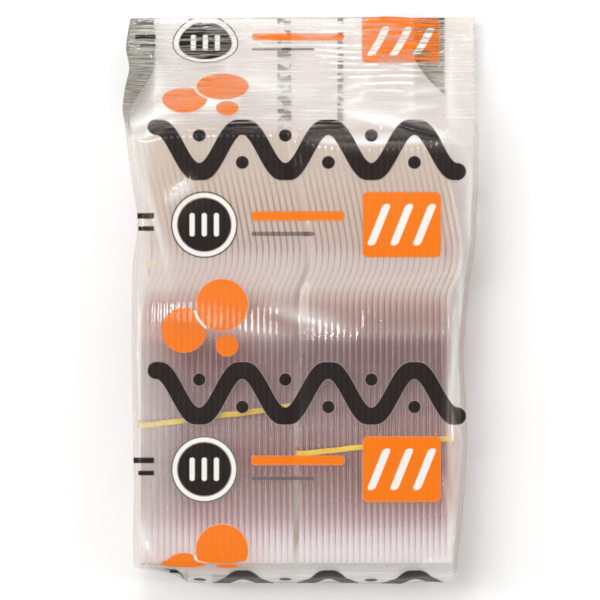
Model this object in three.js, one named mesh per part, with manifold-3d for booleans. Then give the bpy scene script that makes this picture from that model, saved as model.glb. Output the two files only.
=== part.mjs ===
// A pack of one hundred clear plastic forks, lying on its back.
//
// The forks nest side by side in four bundles of twenty-five, each held by a rubber band. Two bundles lie
// in front with their tines towards the neck of the bag. Two lie behind them, the other way round, so that
// the wide heads of one layer rest on the narrow handles of the other. A printed film bag with side gussets
// holds them all, with a folded end below the handles and a gathered, sealed neck above the tines.
//
// Millimetres. X runs across the pack, Y along it towards the neck of the bag, Z is up.

import * as THREE from "three";
import Module from "manifold-3d";
import { mergeVertices } from "three/addons/utils/BufferGeometryUtils.js";

const wasm = await Module();
wasm.setup();

// Fork, lengths from the handle's end to the tips of the tines
const handleLength = 106;
const neckLength = 13;
const bowlLength = 12;
const tineLength = 39;
const endRound = 3;

// Fork, widths
const handleEndWidth = 12.8;
const handleEndFlat = 8.6;
const neckWidth = 7.8;
const shoulderWidth = 12.6;
const keelWidth = 20.4;
const headWidth = 25.6;
const tipsWidth = 23.6;
const tineTipWidth = 1.9;

// Fork, side profile: how far the head stands behind and in front of the handle's face
const shoulderDepth = 4.65;
const keelDepth = 5;
const rootDepth = 4.2;
const tipRise = 3.8;
const forkThickness = 2;
const troughDepth = 0.7;

// Bundles of forks
const forksPerBundle = 25;
const frontNestGap = 0.4325;
const rearNestGap = 0.36;
const frontBundleGap = 2.2;
const rearBundleGap = 2.3;
const rearShift = 1.7;
const layerGap = 0.45;

// Rubber bands
const bandWidth = 2;
const bandThickness = 0.9;
const bandGap = 0.3;
const bandCorner = 1.6;
const bandBite = 0.2;
const bands = {
  front_left: { at: 59, slope: 7.3, backSlope: 4 },
  front_right: { at: 47, slope: 5.5, backSlope: 2 },
  rear_left: { at: 52, slope: -4, backSlope: 3 },
  rear_right: { at: 57, slope: 3, backSlope: -5 },
};

// Film bag
const filmThickness = 0.3;
const filmGap = 0.4;
const bagCorner = 2.6;
const cornerCut = 0.3;
const endReach = 7.5;
const neckReach = 47.9;
const sealHeight = 9.6;
const sealThickness = 1.2;
const endSeamHeight = 15;
const gussetDepth = 16;
const endTuck = 10;
const neckSag = 2.6;
const neckFall = { early: 1.04, bend: 0.8 };
const neckRise = { early: 1, bend: 1.3 };
const neckTuck = { early: 1.15, bend: 1.2 };
const foldHeight = 1.1;
const foldWave = { across: 0.11, along: 5 };
const foldSwell = { across: 0.037, along: -3 };
const ventDiameter = 4;
const ventFromTips = 15;

// Worked out from the sizes above
const forkLength = handleLength + neckLength + bowlLength + tineLength;
const keelAt = handleLength + neckLength + bowlLength / 2;
const rootsAt = forkLength - tineLength;
const frontPitch = forkThickness + frontNestGap;
const rearPitch = forkThickness + rearNestGap;
const frontWidth = (forksPerBundle - 1) * frontPitch + forkThickness;
const rearWidth = (forksPerBundle - 1) * rearPitch + forkThickness;
const layerTilt = Math.atan2((headWidth - handleEndWidth) / 2, rootsAt - endRound);

const clearPlastic = new THREE.MeshStandardMaterial({
  color: 0xd8cfd0, roughness: 0.12, metalness: 0, transparent: true, opacity: 0.55,
});
const yellowRubber = new THREE.MeshStandardMaterial({ color: 0xf2c12e, roughness: 0.55, metalness: 0 });
const clearFilm = new THREE.MeshStandardMaterial({
  color: 0xf3efe9, roughness: 0.1, metalness: 0, transparent: true, opacity: 0.22,
});

// A value between the entries of a table of [place, value], held beyond its ends.
function between(table, place) {
  const next = table.findIndex(([at]) => at >= place);
  if (next === -1) return table.at(-1)[1];
  if (next === 0) return table[0][1];
  const [[a, low], [b, high]] = [table[next - 1], table[next]];
  return low + ((high - low) * (place - a)) / (b - a);
}

// Rows across the fork from the handle's end to the roots of the tines: how far along, half the width, how
// far the face stands behind the handle's, and how deep the handle is troughed. Plain rows are kept where
// the forks are fused to their band.
const rows = [
  { along: 0, half: handleEndFlat / 2, depth: 0 },
  { along: endRound, half: handleEndWidth / 2, depth: 0, trough: troughDepth, plain: true },
  { along: handleLength, half: neckWidth / 2, depth: 0, trough: troughDepth, plain: true },
  { along: handleLength + neckLength, half: shoulderWidth / 2, depth: shoulderDepth, plain: true },
  { along: keelAt, half: keelWidth / 2, depth: keelDepth },
  { along: rootsAt, half: headWidth / 2, depth: rootDepth, plain: true },
];

const halfWidths = [...rows.map((row) => [row.along, row.half]), [forkLength, tipsWidth / 2]];

// One fork: its handle's end at the origin, its length along Y, its width along Z, its face towards -X. A
// flat outline with four tines is bent to the side profile and given the same thickness along X all over,
// so that forks nest however close they stand.
function forkGeometry(plain) {
  const kept = plain ? rows.filter((row) => row.plain) : rows;
  const points = [];
  const faces = [];
  const left = [];
  const right = [];
  const centre = [];
  const add = (across, along, depth) => points.push([depth, along, across]) - 1;

  for (const row of kept) {
    left.push(add(-row.half, row.along, row.depth));
    right.push(add(row.half, row.along, row.depth));
    centre.push(row.trough && !plain ? add(0, row.along, row.depth + row.trough) : null);
  }
  for (let i = 0; i < kept.length - 2; i += 1) {
    const strip = [left[i], centre[i], right[i], right[i + 1], centre[i + 1], left[i + 1]];
    faces.push(...stripFaces(strip));
  }

  const last = kept.length - 1;
  const slotStep = headWidth / 4;
  const slots = [-slotStep, 0, slotStep].map((across) => add(across, rootsAt, rootDepth));
  const roots = [left[last], ...slots, right[last]];
  faces.push([left[last - 1], right[last - 1], right[last]]);
  for (let i = 4; i > 0; i -= 1) faces.push([left[last - 1], roots[i], roots[i - 1]]);

  const tineStep = (tipsWidth - tineTipWidth) / 3;
  const outline = [...left];
  for (let i = 0; i < 4; i += 1) {
    const middle = (i - 1.5) * tineStep;
    const low = add(middle - tineTipWidth / 2, forkLength, -tipRise);
    const high = add(middle + tineTipWidth / 2, forkLength, -tipRise);
    faces.push([roots[i], roots[i + 1], high], [roots[i], high, low]);
    outline.push(low, high);
    if (i < 3) outline.push(roots[i + 1]);
  }
  outline.push(...right.reverse());
  return plateGeometry(points, faces, outline, forkThickness);
}

// The triangles of a strip between two rows, whose middle points may be missing.
function stripFaces([a, m, b, c, n, d]) {
  if (m === null && n === null) return [[a, b, c], [a, c, d]];
  if (m === null) return [[a, b, n], [b, c, n], [a, n, d]];
  if (n === null) return [[a, m, d], [m, c, d], [m, b, c]];
  return [[a, m, n], [a, n, d], [m, b, c], [m, c, n]];
}

// A closed plate: faces, the same faces moved by the thickness along X, and walls round the outline.
function plateGeometry(points, faces, outline, thickness) {
  const count = points.length;
  const position = [...points, ...points.map(([x, y, z]) => [x + thickness, y, z])];
  const index = [];
  for (const [a, b, c] of faces) index.push(a, b, c, a + count, c + count, b + count);
  outline.forEach((a, i) => {
    const b = outline[(i + 1) % outline.length];
    index.push(a, b, b + count, a, b + count, a + count);
  });
  return facedOut(position, index);
}

// A geometry from points and triangles, turned inside out if its volume comes out negative.
function facedOut(position, index) {
  let volume = 0;
  for (let i = 0; i < index.length; i += 3) {
    const [a, b, c] = [0, 1, 2].map((k) => new THREE.Vector3(...position[index[i + k]]));
    volume += a.dot(b.cross(c));
  }
  if (volume < 0) index.reverse();
  const geometry = new THREE.BufferGeometry();
  geometry.setAttribute("position", new THREE.Float32BufferAttribute(position.flat(), 3));
  geometry.setIndex(index);
  geometry.computeVertexNormals();
  return geometry;
}

// A skin over rings of points. The rings close on themselves, or the two ends are capped.
function loftGeometry(rings, endless) {
  const count = rings[0].length;
  const index = [];
  const lastRing = endless ? rings.length : rings.length - 1;
  for (let i = 0; i < lastRing; i += 1) {
    const [low, high] = [i * count, ((i + 1) % rings.length) * count];
    for (let k = 0; k < count; k += 1) {
      const next = (k + 1) % count;
      index.push(low + k, low + next, high + next, low + k, high + next, high + k);
    }
  }
  if (!endless) {
    const flat = (ring) => ring.map(([x, , z]) => new THREE.Vector2(x, z));
    const cap = (ring) => THREE.ShapeUtils.triangulateShape(flat(ring), []);
    const far = (rings.length - 1) * count;
    const facing = Math.sign(THREE.ShapeUtils.area(flat(rings[0])));
    for (const face of cap(rings[0])) index.push(...turned(face, facing));
    for (const face of cap(rings.at(-1))) index.push(...turned(face, -facing).map((k) => k + far));
  }
  return facedOut(rings.flat(), index);
}

// triangulateShape gives its triangles the turn of the ring, so the first cap is turned to match the skin.
function turned(face, facing) {
  return facing > 0 ? [face[0], face[2], face[1]] : [face[0], face[1], face[2]];
}

function solidOf(geometry) {
  const bare = geometry.clone();
  bare.deleteAttribute("normal");
  bare.deleteAttribute("uv");
  const merged = mergeVertices(bare, 1e-4);
  return new wasm.Manifold(new wasm.Mesh({
    numProp: 3,
    vertProperties: new Float32Array(merged.attributes.position.array),
    triVerts: new Uint32Array(merged.index.array),
  }));
}

function geometryOf(solid) {
  const mesh = solid.getMesh();
  const geometry = new THREE.BufferGeometry();
  geometry.setAttribute("position", new THREE.BufferAttribute(mesh.vertProperties, 3));
  geometry.setIndex(new THREE.BufferAttribute(mesh.triVerts, 1));
  geometry.computeVertexNormals();
  return geometry;
}

// A rubber band round a bundle, in the bundle's own frame: a flat strip on a rounded rectangle that stands
// off the handles by bandGap, or bites into them on its near run. Its two runs have their own slopes, and
// the handles widen towards their ends, so its height follows from the lowest place that it reaches.
function bandGeometry({ at, slope, backSlope }, bundleWidth, nearGap) {
  const centre = bundleWidth / 2;
  const reach = bundleWidth / 2 + troughDepth / 2 + bandGap + bandThickness / 2;
  const steepest = Math.max(Math.abs(slope), Math.abs(backSlope));
  const drift = reach * Math.tan(THREE.MathUtils.degToRad(steepest));
  const half = between(halfWidths, at - drift) + bandThickness / 2;
  const shift = troughDepth / 2;
  const steps = 3;
  const rings = [];
  for (let quarter = 0; quarter < 4; quarter += 1) {
    for (let i = 0; i < steps; i += 1) {
      const angle = ((quarter + i / (steps - 1)) * Math.PI) / 2;
      const [across, up] = [Math.cos(angle), Math.sin(angle)];
      const [sideX, sideZ] = [quarter === 0 || quarter === 3 ? 1 : -1, quarter < 2 ? 1 : -1];
      const x = sideX * (reach - bandCorner) + across * bandCorner;
      const rise = half + (sideZ > 0 ? nearGap : bandGap);
      const z = sideZ * (rise - bandCorner) + up * bandCorner;
      const lean = Math.tan(THREE.MathUtils.degToRad(sideZ > 0 ? slope : backSlope));
      const y = at + lean * x;
      const corners = [[-1, -1], [1, -1], [1, 1], [-1, 1]];
      rings.push(corners.map(([out, along]) => [
        centre + shift + x + (out * across * bandThickness) / 2,
        y + (along * bandWidth) / 2,
        z + (out * up * bandThickness) / 2,
      ]));
    }
  }
  return loftGeometry(rings, true);
}

// Layers. Each is tilted so that it lies on both its heads and its handle ends.
const endRise = (forkLength / 2 - endRound) * Math.sin(layerTilt);
const layerReach = endRise + (handleEndWidth / 2) * Math.cos(layerTilt);
const facing = halfWidths.map(([along, half]) => half + between(halfWidths, forkLength - along));
const layerStep = (Math.max(...facing) + layerGap) / Math.cos(layerTilt);
const rearHeight = filmThickness + filmGap + layerReach;
const frontHeight = rearHeight + layerStep;
const blockTop = frontHeight + layerReach;
const bagHeight = blockTop + filmGap + filmThickness;

function layer(height, turn) {
  const group = new THREE.Group();
  group.position.set(0, forkLength / 2, height);
  group.rotation.x = -layerTilt + turn;
  return group;
}

function named(name, geometry, material) {
  const mesh = new THREE.Mesh(geometry, material);
  mesh.name = name;
  return mesh;
}

// Two bundles of loose forks with their tines towards the neck of the bag.
function frontLayer() {
  const group = layer(frontHeight, 0);
  const fork = forkGeometry(false);
  const starts = { left: -frontBundleGap / 2 - frontWidth, right: frontBundleGap / 2 };
  for (const [side, start] of Object.entries(starts)) {
    for (let i = 0; i < forksPerBundle; i += 1) {
      const mesh = named(`fork_${side}_${String(i + 1).padStart(2, "0")}`, fork, clearPlastic);
      mesh.position.set(start + i * frontPitch, -forkLength / 2, 0);
      group.add(mesh);
    }
    const loop = bandGeometry(bands[`front_${side}`], frontWidth, bandGap);
    const band = named(`rubber_band_${side}`, loop, yellowRubber);
    band.position.set(start, -forkLength / 2, 0);
    group.add(band);
  }
  return group;
}

// Two bundles the other way round. The forks of each are fused to the band that carries them.
function rearLayer() {
  const group = layer(rearHeight, Math.PI);
  const starts = { left: rearShift - rearBundleGap / 2 - rearWidth, right: rearShift + rearBundleGap / 2 };
  const fork = solidOf(forkGeometry(true));
  for (const [side, start] of Object.entries(starts)) {
    let bundle = solidOf(bandGeometry(bands[`rear_${side}`], rearWidth, -bandBite));
    for (let i = 0; i < forksPerBundle; i += 1) bundle = bundle.add(fork.translate([i * rearPitch, 0, 0]));
    const mesh = named(`rear_bundle_${side}`, geometryOf(bundle), clearPlastic);
    mesh.position.set(start, -forkLength / 2, 0);
    group.add(mesh);
  }
  return group;
}

// Sections of the bag along Y, from the folded end to the sealed neck. slack is how far the film stands off
// the outermost handles, low and high are its underside and top, tuck is how far the sides fold in.
const tips = forkLength;
const body = { low: 0, high: bagHeight, corner: bagCorner, tuck: 0 };
const seamLow = endSeamHeight - sealThickness / 2;
const seamHigh = endSeamHeight + sealThickness / 2;
const sealLow = sealHeight - sealThickness / 2;
const sealHigh = sealHeight + sealThickness / 2;
const alongHandle = (share) => share * handleLength;
const alongTines = (share) => rootsAt + share * tineLength;
const eased = (share, { early, bend }) => Math.min(1, share * early) ** bend;

// A section of the neck, at a share of the way from the tips to the seal.
const neckRow = (share, slack, corner) => {
  const drop = 0.5 - 0.5 * Math.cos(Math.PI * eased(share, neckFall));
  return {
    y: tips + 2 + share * (neckReach - 2),
    slack,
    low: sealLow * eased(share, neckRise),
    high: bagHeight + (sealHigh - bagHeight) * drop,
    corner,
    tuck: gussetDepth * eased(share, neckTuck),
  };
};
const sections = [
  { y: -endReach, slack: [0.4, 1.2], low: seamLow, high: seamHigh, corner: 0.45, tuck: endTuck },
  { y: -endReach + 1, slack: [1.4, 2], low: seamLow - 6, high: seamHigh + 9, corner: 1.2, tuck: endTuck / 2 },
  { y: -endReach + 2.8, slack: [2, 2.6], low: 2.4, high: bagHeight - 6, corner: 2, tuck: 1 },
  { y: -1, slack: [2.6, 2.8], ...body },
  { y: endRound, slack: [2.7, 3], ...body },
  { y: alongHandle(0.3), slack: [2.7, 5.4], ...body },
  { y: alongHandle(0.47), slack: [2.8, 6.6], ...body },
  { y: alongHandle(0.8), slack: [3.4, 4.9], ...body },
  { y: handleLength, slack: [3.4, 6.8], ...body, high: bagHeight - neckSag },
  { y: handleLength + 0.6 * neckLength, slack: [3.3, 7.6], ...body, high: bagHeight - neckSag },
  { y: keelAt - bowlLength / 3, slack: [3, 9.1], ...body, high: bagHeight - 0.3 * neckSag },
  { y: rootsAt, slack: [1.2, 9.9], ...body },
  { y: alongTines(0.23), slack: [1.1, 10], ...body },
  { y: alongTines(0.46), slack: [3, 10.7], ...body },
  { y: alongTines(0.72), slack: [4.3, 10.7], ...body },
  { y: tips - 1, slack: [5.4, 11], ...body },
  { ...neckRow(0, [5.8, 11.1], bagCorner), low: 0 },
  neckRow(0.2, [7.3, 10.8], 2.4),
  neckRow(0.38, [6.5, 10.5], 2),
  neckRow(0.56, [4.6, 10.3], 1.7),
  neckRow(0.74, [6.6, 10.2], 1.4),
  neckRow(0.88, [5.6, 10.3], 1),
  neckRow(1, [4.6, 10.4], 0.45),
];

// Diagonal gathers of the film between the shoulder and the seal, as a height over the top of a section.
function gather(x, y) {
  const along = THREE.MathUtils.clamp((y - tips) / neckReach, 0, 1);
  const swell = Math.sin(Math.PI * along);
  const wave = Math.sin(x * foldWave.across + along * foldWave.along);
  return foldHeight * swell * wave * Math.cos(x * foldSwell.across + along * foldSwell.along);
}

// One section of the bag as a ring of points, clockwise seen from its end: over the top, down the right
// side with its gusset, along the underside and up the left side.
function sectionRing({ y, slack, low, high, corner, tuck }) {
  const left = -frontBundleGap / 2 - frontWidth - slack[0];
  const right = frontBundleGap / 2 + frontWidth + slack[1];
  const middle = (low + high) / 2;
  const cut = cornerCut * corner;
  const ring = [];
  const topSteps = 5;
  for (let i = 0; i <= topSteps; i += 1) {
    const x = THREE.MathUtils.lerp(left + corner, right - corner, i / topSteps);
    ring.push([x, y, high + gather(x, y) * Math.min(1, i, topSteps - i)]);
  }
  ring.push([right - cut, y, high - cut], [right, y, high - corner], [right - tuck, y, middle]);
  ring.push([right, y, low + corner], [right - cut, y, low + cut]);
  const baseSteps = 3;
  for (let i = 0; i <= baseSteps; i += 1) {
    ring.push([THREE.MathUtils.lerp(right - corner, left + corner, i / baseSteps), y, low]);
  }
  ring.push([left + cut, y, low + cut], [left, y, low + corner], [left + tuck, y, middle]);
  ring.push([left, y, high - corner], [left + cut, y, high - cut]);
  return ring;
}

// The same ring, every edge moved in by the film's thickness.
function insetRing(ring, wall) {
  return ring.map(([x, y, z], i) => {
    const [ax, , az] = ring.at(i - 1);
    const [bx, , bz] = ring[(i + 1) % ring.length];
    const before = new THREE.Vector2(z - az, ax - x).normalize();
    const after = new THREE.Vector2(bz - z, x - bx).normalize();
    const shift = wall / (1 + before.dot(after));
    return [x + (before.x + after.x) * shift, y, z + (before.y + after.y) * shift];
  });
}

// The bag: an outer skin less an inner one, and a small air vent in the underside of the neck.
function filmBag() {
  const outer = sections.map(sectionRing);
  const inner = sections.slice(1, -1).map((section) => {
    const y = section.y < 0 ? section.y + filmThickness : section.y;
    return insetRing(sectionRing({ ...section, y }), filmThickness);
  });
  const vent = new THREE.CylinderGeometry(ventDiameter / 2, ventDiameter / 2, sealHeight, 8);
  vent.rotateX(Math.PI / 2);
  vent.translate(0, tips + ventFromTips, 0);
  const shell = solidOf(loftGeometry(outer, false))
    .subtract(solidOf(loftGeometry(inner, false)))
    .subtract(solidOf(vent));
  return named("film_bag", geometryOf(shell), clearFilm);
}

const bag = filmBag();
const pack = new THREE.Group();
pack.name = "fork_pack";
pack.add(frontLayer(), rearLayer(), bag);

// The origin is under the middle of the bag.
const box = new THREE.Box3().setFromBufferAttribute(bag.geometry.attributes.position);
const middle = box.getCenter(new THREE.Vector3());
pack.position.set(-middle.x, -middle.y, -box.min.z);

export default pack;
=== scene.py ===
# %% [markdown]
# A pack of one hundred clear plastic forks, lying on its back. The forks nest in four bundles, two in front
# and two behind them the other way round, each with a yellow rubber band, and a printed film bag holds them.
# The CAD frame already has every piece in its place. This script gives each one its fine surface and its
# finish: forks with rounded edges, soft bands, and a thin film with folds, gathers and print.

# %% Load the frame
import math

import bmesh
import bpy
import numpy as np
from mathutils import Matrix, Vector, noise


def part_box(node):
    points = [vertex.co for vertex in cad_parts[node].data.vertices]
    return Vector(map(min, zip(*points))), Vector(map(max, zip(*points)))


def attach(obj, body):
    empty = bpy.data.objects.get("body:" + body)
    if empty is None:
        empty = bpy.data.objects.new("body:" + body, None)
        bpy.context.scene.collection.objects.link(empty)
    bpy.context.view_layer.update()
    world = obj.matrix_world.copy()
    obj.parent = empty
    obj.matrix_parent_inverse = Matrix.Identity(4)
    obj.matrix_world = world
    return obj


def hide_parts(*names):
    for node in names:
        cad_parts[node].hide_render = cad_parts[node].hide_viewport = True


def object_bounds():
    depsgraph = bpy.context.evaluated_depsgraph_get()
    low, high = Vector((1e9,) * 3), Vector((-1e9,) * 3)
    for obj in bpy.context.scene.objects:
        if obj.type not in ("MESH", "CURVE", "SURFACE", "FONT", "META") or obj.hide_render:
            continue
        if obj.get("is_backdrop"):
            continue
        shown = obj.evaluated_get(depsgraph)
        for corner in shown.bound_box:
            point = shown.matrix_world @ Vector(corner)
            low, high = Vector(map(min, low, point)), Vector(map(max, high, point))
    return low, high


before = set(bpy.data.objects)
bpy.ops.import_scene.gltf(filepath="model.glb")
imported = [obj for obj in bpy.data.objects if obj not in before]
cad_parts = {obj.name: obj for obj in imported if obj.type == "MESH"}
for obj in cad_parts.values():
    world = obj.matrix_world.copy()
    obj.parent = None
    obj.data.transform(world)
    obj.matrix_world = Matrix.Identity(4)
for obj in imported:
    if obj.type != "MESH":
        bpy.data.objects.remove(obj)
cad_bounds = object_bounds()

mm = 0.001
size = (cad_bounds[1] - cad_bounds[0]) / mm
print(f"frame: {len(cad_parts)} nodes, {size.x:.0f} x {size.y:.0f} x {size.z:.0f} mm")

# %% [markdown]
# Two helpers serve all the shapes. The first reads a short table of places and values as a smooth curve, so
# that a fork's outline or its side profile needs only the points a maker would measure. The second turns
# grids of points into one mesh with smooth shading.

# %% Curves and meshes
def smooth(table, places):
    """The curve through a table of (place, value), which never swings past an entry."""
    x, y = np.array(table, float).T
    slope = np.diff(y) / np.diff(x)
    tangent = np.zeros(len(x))
    tangent[0] = slope[0]
    tangent[-1] = slope[-1]
    same_way = np.flatnonzero(slope[:-1] * slope[1:] > 0)
    tangent[same_way + 1] = 2 / (1 / slope[same_way] + 1 / slope[same_way + 1])
    places = np.clip(places, x[0], x[-1])
    i = np.clip(np.searchsorted(x, places) - 1, 0, len(x) - 2)
    step = x[i + 1] - x[i]
    t = (places - x[i]) / step
    ends = (2 * t**3 - 3 * t**2 + 1) * y[i] + (3 * t**2 - 2 * t**3) * y[i + 1]
    return ends + step * ((t**3 - 2 * t**2 + t) * tangent[i] + (t**3 - t**2) * tangent[i + 1])


def ramp(low, high, places):
    """0 up to low, 1 from high on, and a smooth step between them."""
    t = np.clip((places - low) / (high - low), 0, 1)
    return t * t * (3 - 2 * t)


def make_mesh(name, points, faces):
    """A smooth-shaded mesh from points in millimetres, with coinciding points merged."""
    mesh = bpy.data.meshes.new(name)
    mesh.from_pydata((np.asarray(points) * mm).tolist(), [], faces)
    work = bmesh.new()
    work.from_mesh(mesh)
    bmesh.ops.remove_doubles(work, verts=work.verts, dist=1e-6)
    bmesh.ops.dissolve_degenerate(work, edges=work.edges, dist=1e-7)
    bmesh.ops.recalc_face_normals(work, faces=work.faces)
    for face in work.faces:
        face.smooth = True
    work.to_mesh(mesh)
    work.free()
    mesh.update()
    return mesh


def tube_faces(rows, columns, endless=False):
    """Quads between rows of points, each row a loop. An endless tube joins its last row to its first."""
    faces = []
    for row in range(rows if endless else rows - 1):
        above = (row + 1) % rows
        for k in range(columns):
            n = (k + 1) % columns
            faces.append([row * columns + k, row * columns + n, above * columns + n, above * columns + k])
    return faces


def points_of(mesh):
    """The mesh's points, in metres."""
    places = np.zeros(len(mesh.vertices) * 3)
    mesh.vertices.foreach_get("co", places)
    return places.reshape(-1, 3)


def keep_values(mesh, name, values):
    """Keeps a number, or three, for each point of the mesh, for its finish to read."""
    values = np.asarray(values, np.float32).reshape(len(mesh.vertices), -1)
    kind, field = ("FLOAT", "value") if values.shape[1] == 1 else ("FLOAT_VECTOR", "vector")
    mesh.attributes.new(name, kind, "POINT").data.foreach_set(field, values.reshape(-1))


def turned(mesh, rotation):
    """The mesh turned into its layer, with its own places kept for its finish."""
    keep_values(mesh, "own_place", points_of(mesh))
    mesh.transform(rotation)
    mesh.update()
    return mesh


def place(name, mesh, location, slot, *nodes):
    """An object with that mesh, riding on the pack in place of the CAD nodes."""
    piece = bpy.data.objects.new(name, mesh)
    bpy.context.scene.collection.objects.link(piece)
    piece.location = location
    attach(piece, "root")
    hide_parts(*nodes)


# %% [markdown]
# One fork. The real one is moulded in clear polystyrene: a flat tapering handle with a rounded rim and a
# thinner web, a narrow neck, a bowl and four tines that curve forward. It could be a box model with bevels,
# but every fork shows only its edges here, and those have to be truly round to carry a line of light. So the
# fork is a grid of rows and columns, and its thickness follows from how far each point lies from the outline.

# %% Outline and side profile of a fork
fork_length = 170
neck_from = 106
bowl_from = 119
shoulders_at = 125
roots_at = 131
end_round = 3
handle_end_width = 12.8
handle_end_flat = 8.6
neck_width = 7.8
shoulder_width = 20.4
head_width = 25.6
tips_width = 23.6
tine_tip_width = 1.9
tip_rise = 3.8
fork_thickness = 2
web_thickness = 1.25
trough_depth = 0.7

half_widths = [
    (end_round, handle_end_width / 2),
    (neck_from, neck_width / 2),
    (bowl_from, neck_width / 2 + 2.4),
    (shoulders_at, shoulder_width / 2),
    (roots_at, head_width / 2),
    (fork_length, tips_width / 2),
]
depths = [
    (0, 0), (neck_from, 0), (bowl_from, 4.65), (shoulders_at, 5), (roots_at, 4.2), (fork_length, -tip_rise),
]
troughs = [(0, 0), (end_round, trough_depth), (neck_from, trough_depth), (bowl_from, 0), (fork_length, 0)]


def half_width(along):
    """Half the fork's width, with the handle's end rounded off."""
    past_end = np.clip(1 - along / end_round, 0, 1)
    corner = (handle_end_width - handle_end_flat) / 2
    return smooth(half_widths, along) - corner * (1 - np.sqrt(1 - past_end**2))


# %% Rows and columns of a fork
end_rows = [0, 0.12, 0.4, 1, 1.8, 3, 6]
handle_rows = [30, 60, 90, 101, 106, 109.5, 113, 116, 119, 121.5, 124, 126.5, 128.5, 129.9, 130.6]
tine_rows = [131, 131.5, 132.6, 135, 139, 144, 150, 156, 161, 165, 167.6, 168.8, 169.5, 169.85, 170]
fork_rows = np.array(end_rows + handle_rows + tine_rows, float)
root_row = len(end_rows) + len(handle_rows)
tine_steps = np.array([0, 0.15, 0.5])
rim_steps = np.array([0, 0.12, 0.35, 0.65, 1, 1.35, 1.75, 2.2])
web_steps = np.arange(1, 7) / 6.5
tine_columns = 7
slot_half = 0.35
tip_round = 1.8
web_from = (1.1, 2.2)
tip_slimming = 0.15


def handle_columns(half):
    """Places across the handle, close together at the rim."""
    inside = rim_steps[-1] + (half - rim_steps[-1]) * web_steps
    side = half - np.concatenate([rim_steps, inside])
    return np.concatenate([-side, side[::-1]])


def tine_places(along):
    """Places across the four tines, whose slots open from a rounded root to the tips."""
    share = max(0, (along - roots_at) / (fork_length - roots_at))
    step = (tips_width - tine_tip_width) / 3
    rounding = math.sqrt(1 - max(0, (along - fork_length + tip_round) / tip_round) ** 2)
    columns = []
    for tine in range(4):
        root = (tine - 1.5) * head_width / 4
        centre = root + (step * (tine - 1.5) - root) * share
        reach = (head_width / 8) * (1 - share) + (tine_tip_width / 2) * share
        low = centre - reach + (slot_half * (1 - share) if tine > 0 else 0)
        high = centre + reach - (slot_half * (1 - share) if tine < 3 else 0)
        middle = (low + high) / 2
        half = (high - low) / 2 * rounding
        steps = np.minimum(tine_steps, half * np.array([0, 0.16, 0.53]))
        columns += [*(middle - half + steps), middle, *(middle + half - steps)[::-1]]
    return np.array(columns)


def fork_columns(along):
    """Handle columns that turn into tine columns between the neck and the roots."""
    share = ramp(110, 129, along)
    tines = tine_places(along)
    edge = float(half_width(along))
    if along < roots_at:
        tines = tines * edge / (head_width / 2)
    return handle_columns(edge) * (1 - share) + tines * share


# %% Distance from the outline, and the fork's mesh
def outline_segments(across):
    """The outline as pairs of points (along, across): rims, handle end, tines and slot roots."""
    point = np.stack([np.broadcast_to(fork_rows[:, None], across.shape), across], axis=2)
    last = across.shape[1] - 1
    segments = [(point[i, j], point[i + 1, j]) for i in range(len(fork_rows) - 1) for j in (0, last)]
    segments += [(point[0, j], point[0, j + 1]) for j in range(last)]
    for j in range(tine_columns - 1, last, tine_columns):
        segments.append((point[root_row, j], point[root_row, j + 1]))
        for i in range(root_row, len(fork_rows) - 1):
            segments.append((point[i, j], point[i + 1, j]))
            segments.append((point[i, j + 1], point[i + 1, j + 1]))
    return np.array(segments)


def outline_distance(across):
    """How far each point of the grid lies inside the outline."""
    start, end = outline_segments(across).transpose(1, 0, 2)
    point = np.stack([np.broadcast_to(fork_rows[:, None], across.shape), across], axis=2)[..., None, :]
    line = end - start
    share = ((point - start) * line).sum(-1) / np.maximum((line**2).sum(-1), 1e-12)
    nearest = start + line * np.clip(share, 0, 1)[..., None]
    return np.sqrt(((point - nearest) ** 2).sum(-1)).min(-1)


def fork_shape():
    """Points and quads of one fork, with its handle's end at the origin and its face towards -X."""
    across = np.array([fork_columns(along) for along in fork_rows])
    inside = outline_distance(across)
    radius = fork_thickness / 2
    rim = radius * np.sqrt(1 - (1 - np.minimum(inside / radius, 1)) ** 2)
    hollow = (radius - web_thickness / 2) * ramp(*web_from, inside)
    slimmer = 1 - tip_slimming * ramp(150, fork_length, fork_rows)[:, None]
    half = (rim - hollow) * slimmer
    sides = np.clip(np.abs(across) / half_width(fork_rows)[:, None], 0, 1)
    middle = smooth(depths, fork_rows)[:, None] + smooth(troughs, fork_rows)[:, None] * (1 - sides**2)
    along = np.broadcast_to(fork_rows[:, None], across.shape)
    front = np.stack([middle + radius - half, along, across], axis=2)
    back = np.stack([middle + radius + half, along, across], axis=2)
    rows, columns = across.shape
    faces = []
    for i in range(rows - 1):
        for j in range(columns - 1):
            if i >= root_row and (j + 1) % tine_columns == 0:
                continue
            a = i * columns + j
            quad = [a, a + 1, a + columns + 1, a + columns]
            faces.append(quad)
            faces.append([k + rows * columns for k in reversed(quad)])
    return np.concatenate([front.reshape(-1, 3), back.reshape(-1, 3)]), faces


fork_points, fork_faces = fork_shape()
fork_mesh = make_mesh("clear_fork", fork_points, fork_faces)
print(f"fork: {len(fork_mesh.vertices)} points, {len(fork_mesh.polygons)} faces")

# %% [markdown]
# The forks lie in two layers. Each layer is tilted a little, because it rests on its wide heads and on the
# ends of its narrow handles. The tilt follows from those widths, and the place comes from the CAD boxes: the
# box of one fork, or of one bundle, says where its outline has to reach.

# %% Where a bundle lies
forks_per_bundle = 25
layer_tilt = math.atan2((head_width - handle_end_width) / 2, roots_at - end_round)
front_turn = Matrix.Rotation(-layer_tilt, 4, "X")
rear_turn = Matrix.Rotation(math.pi - layer_tilt, 4, "X")


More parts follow.
